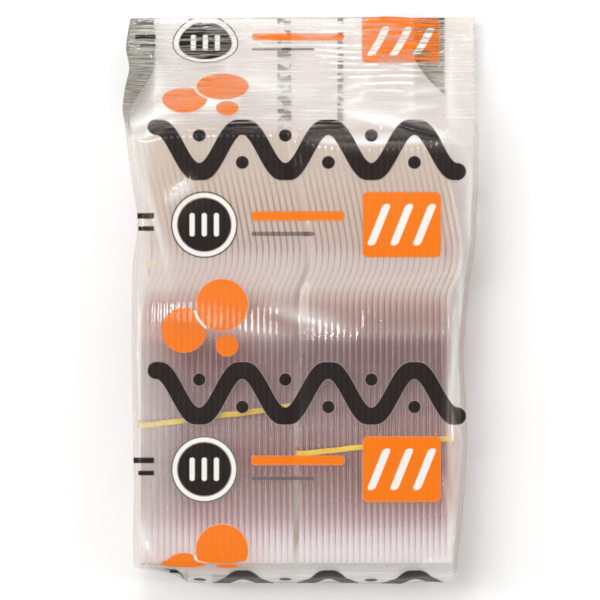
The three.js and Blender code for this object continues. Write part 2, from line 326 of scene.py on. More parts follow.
def bundle_place(node, rotation, first_along):
    """Where the handle's end of a bundle's first fork lies."""
    low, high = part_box(node)
    corners = []
    for along, half in [(0, handle_end_flat / 2), *half_widths]:
        if along >= first_along:
            corners += [rotation @ Vector((0, along, side * half)) for side in (-1, 1)]
    middle_y = (min(c.y for c in corners) + max(c.y for c in corners)) / 2
    middle_z = (min(c.z for c in corners) + max(c.z for c in corners)) / 2
    centre = (low + high) / 2
    return Vector((low.x + tip_rise * mm, centre.y - middle_y * mm, centre.z - middle_z * mm))


front_places = {s: bundle_place(f"fork_{s}_01", front_turn, 0) for s in ("left", "right")}
rear_places = {s: bundle_place(f"rear_bundle_{s}", rear_turn, end_round) for s in ("left", "right")}

# %% Fifty forks in front
def note_rims(mesh):
    """Keeps how near each point lies to its fork's rim, from 0 on the face to 1 at the crest."""
    _, along, across = points_of(mesh).T / mm
    keep_values(mesh, "rim", np.abs(across) / half_width(along))


clear_plastic = bpy.data.materials.new("clear_polystyrene")
fork_mesh.materials.append(clear_plastic)
note_rims(fork_mesh)
turned(fork_mesh, front_turn)
for side, start in front_places.items():
    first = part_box(f"fork_{side}_01")[0].x
    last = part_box(f"fork_{side}_{forks_per_bundle:02d}")[0].x
    pitch = (last - first) / (forks_per_bundle - 1)
    for i in range(forks_per_bundle):
        number = f"{side}_{i + 1:02d}"
        place(f"clear_fork_{number}", fork_mesh, start + Vector((i * pitch, 0, 0)), "clear_plastic",
              f"fork_{number}")
    print(f"front {side}: pitch {pitch / mm:.2f} mm")


# %% Fifty forks behind, one mesh for each bundle
rear_pitch = 2.36
for side, start in rear_places.items():
    points = [fork_points + np.array([i * rear_pitch, 0, 0]) for i in range(forks_per_bundle)]
    faces = []
    for i in range(forks_per_bundle):
        faces += [[k + i * len(fork_points) for k in face] for face in fork_faces]
    mesh = make_mesh(f"rear_forks_{side}", np.concatenate(points), faces)
    mesh.materials.append(clear_plastic)
    note_rims(mesh)
    place(f"rear_forks_{side}", turned(mesh, rear_turn), start, "clear_plastic", f"rear_bundle_{side}")
    print(f"rear {side}: {len(mesh.polygons)} faces")

# %% [markdown]
# Rubber bands. A band is cut from a thin tube of rubber, so it is a flat strip with soft edges. Stretched
# round a bundle it runs straight over the handles, turns tightly at the corners, rolls a little on its way
# and never crosses the bundle quite squarely. It is swept along a rounded rectangle.

# %% Bands round the bundles
band_width = 2.3
band_thickness = 0.9
band_corner = 1.6
band_gap = 0.3
band_roll = math.radians(14)
band_wander = (0.16, 0.07)
band_facets = 14
corner_points = 9
straight_points = 62
bands = {
    "front_left": {"at": 59, "slope": 7.3, "back_slope": 4},
    "front_right": {"at": 47, "slope": 5.5, "back_slope": 2},
    "rear_left": {"at": 52, "slope": -4, "back_slope": 3},
    "rear_right": {"at": 57, "slope": 3, "back_slope": -5},
}


def band_path(bundle_width, at):
    """Points (x, z) and outward directions round a bundle, closer together at the corners."""
    reach = bundle_width / 2 + trough_depth / 2 + band_gap + band_thickness / 2
    rise = float(half_width(at)) + band_gap + band_thickness / 2
    centre = (bundle_width + trough_depth) / 2
    points = []
    for quarter in range(4):
        side_x = 1 if quarter in (0, 3) else -1
        side_z = 1 if quarter < 2 else -1
        for angle in np.linspace(quarter, quarter + 1, corner_points) * math.pi / 2:
            out = np.array([math.cos(angle), math.sin(angle)])
            corner = np.array([side_x * (reach - band_corner), side_z * (rise - band_corner)])
            points.append((corner + out * band_corner, out))
        if quarter in (0, 2):
            start, out = points[-1]
            for share in np.linspace(0, 1, straight_points)[1:-1]:
                points.append((start * (1 - share) + np.array([-start[0], start[1]]) * share, out))
    return centre, np.array([p for p, _ in points]), np.array([o for _, o in points]), rise


def band_mesh(name, bundle_width, at, slope, back_slope):
    """A flat strip with soft edges, swept round the bundle."""
    centre, path, out, rise = band_path(bundle_width, at)
    level = (path[:, 1] / rise + 1) / 2
    lean = np.tan(np.radians(back_slope + (slope - back_slope) * level))
    slow, quick = band_wander
    wander = slow * np.sin(path[:, 0] * 0.19 + at) + quick * np.sin(path[:, 0] * 0.53)
    spine = np.stack([centre + path[:, 0], at + lean * path[:, 0] + wander, path[:, 1]], axis=1)
    tangent = np.roll(spine, -1, axis=0) - np.roll(spine, 1, axis=0)
    tangent /= np.linalg.norm(tangent, axis=1)[:, None]
    normal = np.stack([out[:, 0], np.zeros(len(out)), out[:, 1]], axis=1)
    normal -= tangent * (normal * tangent).sum(1)[:, None]
    normal /= np.linalg.norm(normal, axis=1)[:, None]
    across = np.cross(tangent, normal)
    roll = band_roll * np.sin(path[:, 0] * 0.11 + 0.6 * at) * (np.abs(out[:, 1]) > 0.99)
    up = normal * np.cos(roll)[:, None] + across * np.sin(roll)[:, None]
    side = across * np.cos(roll)[:, None] - normal * np.sin(roll)[:, None]
    points = []
    for angle in np.linspace(0, 2 * math.pi, band_facets, endpoint=False):
        wide = math.copysign(abs(math.cos(angle)) ** 0.5, math.cos(angle)) * band_width / 2
        thick = math.copysign(abs(math.sin(angle)) ** 0.6, math.sin(angle)) * band_thickness / 2
        points.append(spine + side * wide + up * thick)
    return make_mesh(name, np.concatenate(points), tube_faces(band_facets, len(spine), endless=True))


yellow_rubber = bpy.data.materials.new("band_rubber")
front_width = (forks_per_bundle - 1) * pitch / mm + fork_thickness
rear_width = (forks_per_bundle - 1) * rear_pitch + fork_thickness
for side in ("left", "right"):
    front = band_mesh(f"soft_band_{side}", front_width, **bands[f"front_{side}"])
    rear = band_mesh(f"rear_band_{side}", rear_width, **bands[f"rear_{side}"])
    for mesh, rotation in ((front, front_turn), (rear, rear_turn)):
        mesh.materials.append(yellow_rubber)
        turned(mesh, rotation)
    place(f"soft_band_{side}", front, front_places[side], "yellow_rubber", f"rubber_band_{side}")
    place(f"rear_band_{side}", rear, rear_places[side], "yellow_rubber", f"rear_bundle_{side}")
    print(f"bands {side}: {len(front.polygons)} and {len(rear.polygons)} faces")

# %% [markdown]
# The film bag. It is one thin tube of film with side gussets, folded shut below the handles and sealed
# across the neck above the tines. Its CAD solid says how wide and how high the bag is at each place, so the
# fine film is lofted over the same sections. Five plates would look like a box: what makes it film is that
# it touches the forks here, hangs slack there, gathers towards the seal and shows every fold as light.

# %% Sections of the bag, read from the frame
skin = np.array([v.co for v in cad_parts["film_bag"].data.vertices]) / mm
full_width = 100


def bag_sections():
    """For each section of the CAD bag: y, left, right, low, high, corner."""
    found = []
    for y in np.unique(np.round(skin[:, 1], 2)):
        ring = skin[np.abs(skin[:, 1] - y) < 0.01]
        left, right = ring[:, 0].min(), ring[:, 0].max()
        if right - left < full_width:
            continue
        edge = ring[ring[:, 0] < left + 3]
        low, high = edge[:, 2].min(), edge[:, 2].max()
        corner = edge[edge[:, 2] > high - 0.01, 0].min() - left
        found.append((y, left, right, low, high, corner))
    return np.array(found)


sections = bag_sections()
bag_start, bag_end = sections[0, 0], sections[-1, 0]
body_top = sections[:, 4].max()
fork_ends_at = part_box("fork_left_01")[0].y / mm
tips_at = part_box("fork_left_01")[1].y / mm
print(f"bag: {len(sections)} sections from y {bag_start:.1f} to {bag_end:.1f} mm")

# %% The length of film, and the smooth profile along it
ring_step = 0.5
body_ring_every = 4
profile_round = 2.2
neck_gather = 15
end_print = [(-133, -134), (-107, -121), (-103, -103)]
left_tuck = 11.5
right_tuck = 25
end_tuck = 9


def rounded(values, reach):
    """A row of values with its kinks rounded, its two ends kept."""
    width = max(1, int(4 * reach / ring_step))
    window = np.exp(-0.5 * (np.arange(-width, width + 1) * ring_step / reach) ** 2)
    padded = np.pad(values, width, mode="reflect", reflect_type="odd")
    return np.convolve(padded, window / window.sum(), mode="valid")


lengths = np.hypot(np.diff(sections[:, 0]), np.diff(sections[:, 4]))
reached = np.concatenate([[0], np.cumsum(lengths)])
film_places = np.linspace(0, reached[-1], int(reached[-1] / ring_step))
profile = [rounded(np.interp(film_places, reached, column), profile_round) for column in sections.T]
ring_y, ring_left, ring_right, ring_low, ring_high, ring_corner = profile
film_v = film_places - np.interp(0, ring_y, film_places)
film_v += neck_gather * ramp(tips_at + 6, bag_end - 3, ring_y)
film_v = np.where(film_v < end_print[-1][0], np.interp(film_v, *zip(*end_print)), film_v)
on_body = (ring_y > fork_ends_at + 6) & (ring_y < tips_at - 4)
kept = ~on_body | (np.arange(len(ring_y)) % body_ring_every == 0)
ring_y, ring_left, ring_right, ring_low, ring_high, ring_corner, film_v = [
    row[kept] for row in (ring_y, ring_left, ring_right, ring_low, ring_high, ring_corner, film_v)]
print(f"film: {len(ring_y)} rings over {reached[-1]:.0f} mm of film")

# %% [markdown]
# Folds. Each is a line on the film with a width and a height, sharp at its crest and fading at its ends,
# like a crease in real film. The big ones are placed where the photograph shows them, and noise in several
# sizes adds the small ones.

# %% Creases and crumples
pixel = 0.395
picture_pixels = 600
picture_middle = (300.5, 300)


def at_pixel(x, y):
    """The place on the pack, in millimetres, of a pixel of the photograph."""
    return (x - picture_middle[0]) * pixel, (picture_middle[1] - y) * pixel


def crease(x, y, start, end, width, height):
    """Height of one fold from start to end, given in pixels."""
    ax, ay = at_pixel(*start)
    bx, by = at_pixel(*end)
    length = math.hypot(bx - ax, by - ay)
    ux, uy = (bx - ax) / length, (by - ay) / length
    along = ((x - ax) * ux + (y - ay) * uy) / length
    off = (x - ax) * -uy + (y - ay) * ux
    off = off + 0.6 * np.sin(along * 7 + ax)
    fade = np.clip(np.sin(math.pi * np.clip(along, 0, 1)), 0, 1) ** 0.6
    leaning = np.where(off > 0, 1.6, 1) * width
    return height * fade * np.exp(-((np.abs(off) / leaning) ** 1.25))


def crumple(x, y, scale, seed, depth=2):
    """Noise over the film, from -1 to 1."""
    flat = np.stack([x.ravel() / scale, y.ravel() / scale, np.full(x.size, seed)], axis=1)
    values = [noise.fractal(Vector(p), 1.0, 2.0, depth) for p in flat]
    return np.array(values).reshape(x.shape)


shoulder_creases = [
    ((124, 128), (182, 103), 2.2, 1.6),
    ((168, 103), (244, 100), 2.0, 1.4),
    ((124, 142), (186, 118), 1.4, -0.9),
    ((338, 110), (462, 141), 1.7, 1.8),
    ((300, 139), (474, 142), 1.9, -1.1),
    ((368, 88), (342, 108), 1.4, 0.9),
    ((372, 74), (330, 98), 1.2, -0.8),
    ((402, 96), (448, 84), 1.1, 0.9),
    ((384, 116), (446, 102), 1.2, 0.9),
    ((210, 78), (318, 92), 3.2, 0.8),
    ((160, 60), (150, 110), 2.2, -0.9),
    ((232, 30), (226, 96), 2.6, 0.5),
    ((452, 30), (452, 130), 2.4, 0.8),
]
body_creases = [
    ((140, 150), (172, 300), 2.0, 0.5),
    ((196, 176), (164, 206), 2.6, 0.6),
    ((455, 300), (449, 520), 1.3, 0.9),
    ((462, 240), (458, 430), 1.0, 0.8),
    ((468, 150), (472, 260), 1.2, 0.8),
    ((446, 470), (452, 566), 1.1, 0.9),
    ((126, 160), (138, 300), 1.2, 0.7),
    ((140, 300), (138, 470), 1.0, 0.5),
    ((136, 524), (158, 566), 1.2, 1.2),
    ((134, 548), (150, 540), 0.9, -0.9),
    ((448, 548), (462, 532), 0.9, 0.9),
    ((420, 566), (462, 556), 1.0, 0.7),
    ((250, 300), (360, 334), 5.0, -0.5),
    ((150, 322), (300, 338), 6.0, 0.4),
]

# %% Height of the film's front over the plain section
ridge_height = 0.05
valley_depth = 0.7
valley_reach = 3.2
wrinkle_height = 0.3
slack_over_forks = 0.4
crumple_sizes = (34, 12, 5)
neck_crumples = (1.1, 0.55, 0.2)
gap_sides = (front_places["left"].x + (forks_per_bundle - 1) * pitch, front_places["right"].x)
gap_x = (sum(gap_sides) / mm + fork_thickness + trough_depth) / 2
first_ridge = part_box("fork_left_01")[0].x / mm + tip_rise + fork_thickness / 2


def seam_x(y):
    """Where the gap between the two front bundles runs, along the side profile of their forks."""
    return gap_x + smooth(depths, y - fork_ends_at)


def neck_share(y):
    """0 over the forks and 1 at the seal."""
    return ramp(tips_at - 1, tips_at + 9, y)


def wrinkles(x, y):
    """Fine wrinkles across the right half of the neck, -1 to 1, and how strongly each place has them."""
    strength = ramp(4, 12, x) * (1 - ramp(43, 52, x)) * ramp(80, 86, y)
    strength = strength + 0.35 * ramp(96, 104, y)
    return np.sin(2 * math.pi * (y / 2.9 + 0.9 * crumple(x * 0.6, y * 2, 26, 7.7))), np.minimum(strength, 1)


def front_relief(x, y):
    """How far the front of the film stands above its plain section, and how strong a painted highlight its
    creases and neck wrinkles get.
    """
    over_forks = 1 - neck_share(y)
    height = over_forks * ridge_height * np.cos(2 * math.pi * (x - first_ridge) / (pitch / mm))
    height -= over_forks * valley_depth * np.exp(-(((x - seam_x(y)) / valley_reach) ** 2))
    white = np.zeros_like(height)
    for fold in body_creases + shoulder_creases:
        rise = crease(x, y, *fold)
        height += rise
        # painted highlight: the higher a fold, the whiter it is painted
        white = np.maximum(white, np.abs(rise) / 1.6)
    rough, middling, fine = [crumple(x, y, *sort) for sort in zip(crumple_sizes, (3.1, 9.4, 4.9))]
    height += over_forks * slack_over_forks * rough
    neck = neck_share(y)
    waves, strength = wrinkles(x, y)
    height += neck * wrinkle_height * waves * strength
    height += neck * sum(most * noisy for most, noisy in zip(neck_crumples, (rough, middling, fine)))
    # painted highlight: broken pale lines along the crests of the neck's wrinkles
    broken = ramp(0.35, 0.95, waves) * ramp(-0.25, 0.3, crumple(x, y, 9, 5.5))
    white = np.maximum(white, neck * strength * broken)
    return height, np.clip(white, 0, 1)


# %% The ring of points at each section
top_steps = 204
side_steps = 18
base_steps = 44
corner_angles = np.radians([72, 45, 18])


def film_ring_layout():
    """For each point of a ring: which run it is on, and how far along it."""
    layout = [("top", t) for t in np.linspace(0, 1, top_steps + 1)]
    layout += [("right_high", a) for a in corner_angles]
    layout += [("right", t) for t in np.linspace(0, 1, side_steps + 1)]
    layout += [("right_low", a) for a in corner_angles[::-1]]
    layout += [("base", t) for t in np.linspace(0, 1, base_steps + 1)]
    layout += [("left_low", a) for a in corner_angles]
    layout += [("left", t) for t in np.linspace(1, 0, side_steps + 1)]
    layout += [("left_high", a) for a in corner_angles[::-1]]
    return layout


layout = film_ring_layout()
runs = np.array([run for run, _ in layout])
shares = np.array([share for _, share in layout])


def run_points(run):
    """X and Z of one run at every ring, before its folds."""
    t = shares[runs == run][None, :]
    left, right = ring_left[:, None], ring_right[:, None]
    low, high, corner = ring_low[:, None], ring_high[:, None], ring_corner[:, None]
    if run == "top":
        return left + corner + (right - left - 2 * corner) * t, high + 0 * t
    if run == "base":
        return right - corner - (right - left - 2 * corner) * t, low + 0 * t
    edge, sign = (right, -1) if run.startswith("right") else (left, 1)
    if run.endswith("high"):
        return edge + sign * corner * (1 - np.cos(t)), high - corner * (1 - np.sin(t))
    if run.endswith("low"):
        return edge + sign * corner * (1 - np.cos(t)), low + corner * (1 - np.sin(t))
    tuck = left_tuck if sign > 0 else right_tuck
    fold = tuck * ramp(tips_at - 2, bag_end - 12, ring_y)
    fold += end_tuck * ramp(bag_start + 3.5, bag_start, ring_y)
    inward = fold[:, None] * (1 - np.abs(2 * t - 1)) ** 1.15
    return edge + sign * inward, high - corner + (low - high + 2 * corner) * t


# %% The film's mesh
side_slack = (0.9, 0.35)
base_lift = 0.5
seal_waver = 0.7
end_waver = 0.8
end_corner = 5.2


def side_relief(y, z, seed):
    """Slack folds of a side wall: long soft ones along the bag and a few steep ones."""
    soft, steep = side_slack
    slack = soft * crumple(y * 0.5, z * 1.6, 16, seed) + steep * crumple(y, z, 6, seed + 5)
    return slack * ramp(bag_start, bag_start + 5, y) * (1 - 0.8 * ramp(tips_at, bag_end - 8, y))


x_rings = np.zeros((len(ring_y), len(layout)))
z_rings = np.zeros_like(x_rings)
y_rings = np.broadcast_to(ring_y[:, None], x_rings.shape).copy()
for run in dict.fromkeys(runs):
    here = runs == run
    x_rings[:, here], z_rings[:, here] = run_points(run)

top = runs == "top"
to_edge = np.minimum(1, np.minimum(shares[top], 1 - shares[top]) * 18)[None, :]
room = ramp(0.4, 9, ring_high - ring_low)[:, None]
relief, painted_crease_highlight = front_relief(x_rings[:, top], y_rings[:, top])
z_rings[:, top] += relief * to_edge * room
base = runs == "base"
lift = 0.5 + 0.5 * crumple(x_rings[:, base], y_rings[:, base], 14, 6.3)
z_rings[:, base] += base_lift * lift * neck_share(y_rings[:, base]) * room
for run, sign in (("right", 1), ("left", -1)):
    here = runs == run
    ease = np.sin(math.pi * shares[here])[None, :]
    bulge = side_relief(y_rings[:, here], z_rings[:, here], 11.3 + sign)
    x_rings[:, here] += sign * ease * bulge

at_seal = ramp(bag_end - 7, bag_end, ring_y)[:, None]
at_end = ramp(bag_start + 8, bag_start, ring_y)[:, None]
y_rings += seal_waver * at_seal * crumple(x_rings, 0 * x_rings, 22, 8.8)
end_line = end_waver * crumple(x_rings, 0 * x_rings, 15, 1.9) + end_corner * ramp(-44, -50, x_rings)
y_rings += at_end * end_line

rings, count = x_rings.shape
film_points = np.stack([x_rings, y_rings, z_rings], axis=2).reshape(-1, 3)
film_faces = tube_faces(rings, count)
film_faces.append(list(range(count))[::-1])
film_faces.append([(rings - 1) * count + k for k in range(count)])

film_mesh = bpy.data.meshes.new("printed_film")
film_mesh.from_pydata((film_points * mm).tolist(), [], film_faces)
film_mesh.polygons.foreach_set("use_smooth", np.ones(len(film_faces), bool))
print(f"film: {len(film_faces)} faces")

# %% Where each point of the film lies when the film is flat
front_side = np.where(top | np.char.endswith(runs, "_high"), 1.0, np.where(base, -1.0, 0.0))
flat = np.stack([
    x_rings,
    np.broadcast_to(film_v[:, None], x_rings.shape),
    np.broadcast_to(front_side[None, :], x_rings.shape),
], axis=2)
keep_values(film_mesh, "film_flat", flat)

# %% Painted highlight along each crease, and where the film stands off the forks or takes painted light
# Each share grows from 0, where the film clings, towards the margins, the seam, the heads, the necks
# and the folded end. The greatest counts. Only over the margins does the film stand off the forks; at the
# seam, the heads, the necks, the left side and the folded end the share is painted light over their shade.
forks_middle = -1.9
over_margins = ramp(57, 61.5, np.abs(x_rings - forks_middle))
over_heads = 0.5 * ramp(28, 52, y_rings)
over_left = 1.1 * ramp(-42, -58, x_rings)
over_seam = np.exp(-(((x_rings - seam_x(y_rings)) / 1.5) ** 2)) * (0.35 + 1.6 * ramp(2, 24, y_rings))
over_necks = 0.6 * np.exp(-(((y_rings - 12) / 9) ** 2))
over_ends = 1.5 * ramp(-90, -103, y_rings)
# painted light: over the seam, heads, necks, left side and folded end this share lifts their shade with white
# haze; only over the margins does the film stand off the forks
standoff_and_painted_light = np.maximum.reduce([over_margins, over_left, over_seam, over_heads, over_necks, over_ends])
standoff_and_painted_light = standoff_and_painted_light * top * (1 - neck_share(y_rings))
crease_highlight = np.zeros_like(x_rings)
crease_highlight[:, top] = painted_crease_highlight
loose = np.maximum(neck_share(y_rings), ramp(fork_ends_at, bag_start + 4, y_rings))
keep_values(film_mesh, "film_wear", np.stack([crease_highlight, standoff_and_painted_light, loose], axis=2))
clinging = ramp(-17, -8, y_rings) * top * (1 - neck_share(y_rings)) * (1 - over_margins)
keep_values(film_mesh, "film_veil", clinging)
clear_film = bpy.data.materials.new("clear_printed_film")
film_mesh.materials.append(clear_film)
film_mesh.update()
place("printed_film", film_mesh, (0, 0, 0), "clear_film", "film_bag")

# %% [markdown]
# Materials are node graphs, and long ones are hard to read as a list of links. Here a node's output is
# wrapped in a small class, so that shader maths is written as plain expressions such as 1 - mask.

# %% A socket that understands arithmetic
class Wire:
    """One output of a node. Operators on wires add Math nodes to the same material."""

    def __init__(self, tree, socket=None):
        self.tree = tree
        self.socket = socket

    def node(self, kind, settings=None, inputs=None, output=0):
        """Any node: its settings first, then the values or wires of its inputs."""
        made = self.tree.nodes.new("ShaderNode" + kind)
        for name, value in (settings or {}).items():
            if name == "stops":
                stops = made.color_ramp.elements
                while len(stops) < len(value):
                    stops.new(0.5)
                for stop, (at, colour) in zip(stops, value):
                    stop.position = at
                    stop.color = (*colour, 1)
            else:
                setattr(made, name, value)
        for name, value in (inputs or {}).items():
            if isinstance(value, Wire):
                self.tree.links.new(value.socket, made.inputs[name])
            else:
                made.inputs[name].default_value = value
        return Wire(self.tree, made.outputs[output])

    def maths(self, operation, *values):
        return self.node("Math", {"operation": operation}, dict(enumerate(values)))

    def __add__(self, other):
        return self.maths("ADD", self, other)

    __radd__ = __add__

    def __sub__(self, other):
        return self.maths("SUBTRACT", self, other)

    def __rsub__(self, other):
        return self.maths("SUBTRACT", other, self)

    def __mul__(self, other):
        return self.maths("MULTIPLY", self, other)

    __rmul__ = __mul__

    def __truediv__(self, other):
        return self.maths("DIVIDE", self, other)

    def __pow__(self, other):
        return self.maths("POWER", self, other)

    def __abs__(self):
        return self.maths("ABSOLUTE", self)

    def kept(self, name, output=1):
        """The values kept with the mesh under a name: a vector, or a number from output 2."""
        return self.node("Attribute", {"attribute_name": name}, output=output)

    def grain(self, place_on, scale, detail, roughness=0.5):
        """Cloudy noise, 0 to 1."""
        settings = {"Vector": place_on, "Scale": scale, "Detail": detail, "Roughness": roughness}
        return self.node("TexNoise", None, settings)

    def parts(self):
        """The three numbers of a vector."""
        split = self.node("SeparateXYZ", None, {0: self}).socket.node
        return [Wire(self.tree, split.outputs[k]) for k in range(3)]

    def clamped(self):
        return self.node("Clamp", None, {0: self})

    def least(self, other):
        return self.maths("MINIMUM", self, other)

    def most(self, other):
        return self.maths("MAXIMUM", self, other)

    def root(self):
        return self.maths("SQRT", self)

    def step(self, low, high):
        """0 at low, 1 at high, and a smooth step between them."""
        settings = {"interpolation_type": "SMOOTHSTEP"}
        return self.node("MapRange", settings, {0: self, 1: low, 2: high, 3: 0.0, 4: 1.0})


def linear(red, green, blue):
    """A colour as it looks on a screen, 0 to 255, as linear light."""
    values = [c / 255 for c in (red, green, blue)]
    return tuple(c / 12.92 if c <= 0.04045 else ((c + 0.055) / 1.055) ** 2.4 for c in values)


def opaque(colour):
    return (*colour, 1)


def rgb(red, green, blue):
    """A screen colour for a socket."""
    return opaque(linear(red, green, blue))


def blend(factor, a, b):
    """Colour a where factor is 0 and b where it is 1."""
    owner = next(w for w in (factor, a, b) if isinstance(w, Wire))
    return owner.node("Mix", {"data_type": "RGBA"}, {0: factor, 6: a, 7: b}, output=2)


def start_material(material):
    """An empty graph for the material, and a wire to start it from. Its own faint painted glow is no lamp."""
    material.use_nodes = True
    material.cycles.emission_sampling = "NONE"
    material.node_tree.nodes.clear()
    return Wire(material.node_tree)


def end_graph(graph, surface, kind="Material"):
    """Ends the graph with what it shows."""
    end = graph.tree.nodes.new("ShaderNodeOutput" + kind)
    graph.tree.links.new(surface.socket, end.inputs["Surface"])


def see_through(graph, tint, factor, surface):
    """Ends the graph: a clear part by the share 1 - factor, and the surface's own shader by factor."""
    clear = graph.node("BsdfTransparent", None, {"Color": opaque(tint)})
    end_graph(graph, graph.node("MixShader", None, {0: factor, 1: clear, 2: surface}))


def seen(graph):
    """1 for what is seen directly, in a reflection or through a surface, and 0 for light on its way."""
    path = graph.node("LightPath").socket.node
    camera, glossy, passing = [Wire(graph.tree, path.outputs[name])
                               for name in ("Is Camera Ray", "Is Glossy Ray", "Is Transmission Ray")]
    return camera.most(glossy).most(passing)


# %% [markdown]
# Clear polystyrene. A fork by itself is as clear as glass, but a hundred of them stacked look greyish mauve,
# because light is bent and lost at every edge. Real refraction through two hundred faces would be slow and
# grainy, so each fork is partly see-through instead, with a shiny surface whose colour changes along the
# fork: the stack's mauve tint with painted light and shade over it, dark over the handles and light at the
# necks. The stack is palest at the handles' ends, where light enters freely. A painted highlight runs along
# each crest, a painted shade tints the handles' ends bluish grey, and a faint painted glow lifts the stack.

# %% Finish of the forks
painted_fork_glow = 0.17
fork_cover = 0.5
glancing_cover = 0.3


def finish_plastic():
    g = start_material(clear_plastic)
    place_on = g.kept("own_place")
    along = place_on.parts()[1] / (fork_length * mm)
    stretched = g.node("Mapping", None, {"Vector": place_on, "Scale": (900, 14, 240)})
    flow = g.grain(stretched, 1.0, 1.0)
    # painted light and shade: the ramp gives the stack pale ends, dark mauve handles and light necks over its
    # mauve tint
    colour = g.node("ValToRGB", {"stops": [
        (0.0, linear(255, 252, 255)),
        (0.04, linear(255, 250, 254)),
        (0.072, linear(246, 232, 242)),
        (0.108, linear(206, 176, 186)),
        (0.143, linear(176, 130, 138)),
        (0.185, linear(134, 70, 80)),
        (0.3, linear(132, 64, 74)),
        (0.5, linear(128, 70, 78)),
        (0.52, linear(138, 84, 86)),
        (0.54, linear(194, 156, 148)),
        (0.56, linear(180, 140, 130)),
        (0.585, linear(192, 156, 144)),
        (0.61, linear(232, 208, 196)),
        (0.68, linear(255, 250, 246)),
        (0.76, linear(236, 226, 220)),
        (0.86, linear(240, 238, 222)),
        (1.0, linear(244, 244, 230)),
    ]}, {0: along + (flow - 0.5) * 0.035})
    patchy = g.grain(place_on, 26.0, 1.0)
    colour = blend(patchy.step(0.35, 0.75) * 0.3, colour, rgb(224, 204, 204))
    rim = g.kept("rim", output=2)
    colour = blend(rim.step(0.95, 0.7) * 0.5, colour, rgb(200, 174, 178))
    # painted highlight: a pale line along each fork's crest
    colour = blend(rim.step(0.965, 1.0) * 0.14, colour, rgb(255, 252, 248))
    # painted shade: the last millimetre of each handle turns bluish grey, like the shade between the handles'
    # ends
    colour = blend((along * fork_length).step(1.0, 0.5), colour, rgb(138, 134, 190))
    glancing = g.node("Fresnel", None, {"IOR": 1.45})
    surface = g.node("BsdfPrincipled", None, {
        "Base Color": colour,
        "Roughness": 0.1 + flow * 0.14,
        "IOR": 1.59,
        "Specular IOR Level": 0.35,
        "Coat Weight": 0.2,
        "Coat Roughness": 0.04,
        # painted glow: the forks emit a little of their own colour, though they are no lamp
        "Emission Color": colour,
        "Emission Strength": painted_fork_glow,
    })
    factor = (fork_cover + glancing * glancing_cover).clamped()
    see_through(g, linear(251, 249, 249), factor, surface)


finish_plastic()

# %% [markdown]
# Rubber. It is a warm yellow, slightly see-through, with a dry skin that shines only where it is stretched
# over a corner. Fine speckle roughens its skin.

# %% Finish of the bands
def finish_rubber():
    g = start_material(yellow_rubber)
    place_on = g.node("TexCoord", output=3)
    speckle = g.grain(place_on, 420.0, 4.0)
    clouds = g.grain(place_on, 60.0, 2.0)
    colour = blend(clouds.step(0.3, 0.7), rgb(255, 206, 24), rgb(255, 228, 70))
    colour = blend(speckle.step(0.5, 0.8) * 0.35, colour, rgb(236, 168, 10))
    bump = g.node("Bump", None, {"Height": speckle, "Strength": 0.35, "Distance": 0.0003})
    surface = g.node("BsdfPrincipled", None, {
        "Base Color": colour,
        "Roughness": 0.38 + speckle * 0.25,
        "Subsurface Weight": 0.15,
        "Subsurface Radius": (0.002, 0.0012, 0.0004),
        "Subsurface Scale": 1.0,
        "Normal": bump,
    })
    end_graph(g, surface)


finish_rubber()

# %% [markdown]
# The print repeats along the film: a dark running wave with dots, a row with a badge, bars and an orange
# panel, and a group of orange discs. Every shape is a distance worked out in the film's flat millimetres,
# so the print follows each fold, is squeezed where the neck is gathered, and turns over the folded end.

# %% Places and sizes of the print
repeat = 97
wave_row = 60
wave_length = 34
wave_half = 1.75 * wave_length
wave_middle = 2.5
wave_swing = 9
wave_thickness = 7
dot_height = 5.4
dot_radius = 2.6
badge_at = (-38, -30)
badge_radius = 10.6
badge_ring = (11.7, 0.9)
badge_outline = (12.9, 0.3)
badge_bars = {"step": 4.8, "half": (1.0, 4.6), "corner": 0.9, "reach": 7}
tile_at = (40, -30)
tile = {"at": tile_at, "half": (15.5, 13), "corner": 2.2}
tile_bars = {"step": 9, "half": (1.6, 8.2), "corner": 1.4, "reach": 12}
tile_lean = 0.4
long_bar = {"at": (-1, -26.5), "half": (18.5, 1.9), "corner": 1.6}
short_bar = {"at": (-7, -33.6), "half": (12.5, 0.9), "corner": 0.8}
long_tick = {"at": (-62, -26.5), "half": (4.2, 1.2), "corner": 0.5}
short_tick = {"at": (-61, -31.5), "half": (3.2, 1), "corner": 0.5}
discs = [((-46, 25), 9), ((-31, 35), 10.5), ((-29, 19), 4.5)]
disc_rim = (10.9, 0.5)
orange_light_reach = 13
rear_mark_step = 9
rear_mark_wide = {"at": (-6.5, 0), "half": (2.8, 3.4), "corner": 0.8}
rear_mark_narrow = {"at": (16, 0), "half": (1.2, 3.6), "corner": 0.6}
edge_blur = 0.3


# %% Distances outside simple shapes
def nearest(first, *others):
    """The distance outside several shapes together."""
    for other in others:
        first = first.least(other)
    return first


def disc(u, v, at, radius):
    """Distance outside a disc."""
    return ((u - at[0]) ** 2 + (v - at[1]) ** 2).root() - radius


def ring(u, v, at, radius, half):
    """Distance outside a ring of twice that half width."""
    return abs(disc(u, v, at, radius)) - half


def panel(u, v, at, half, corner):
    """Distance outside a rectangle with rounded corners."""
    x = (abs(u - at[0]) - (half[0] - corner)).most(0)
    y = (abs(v - at[1]) - (half[1] - corner)).most(0)
    return (x ** 2 + y ** 2).root() - corner


def bars(off_middle, row, height, step, half, corner, reach):
    """Distance outside a few equal bars, the middle one at 0."""
    bar_at = (off_middle + step / 2).maths("WRAP", off_middle + step / 2, step, 0.0) - step / 2
    return panel(bar_at, row, (0, height), half, corner).most(abs(off_middle) - reach)


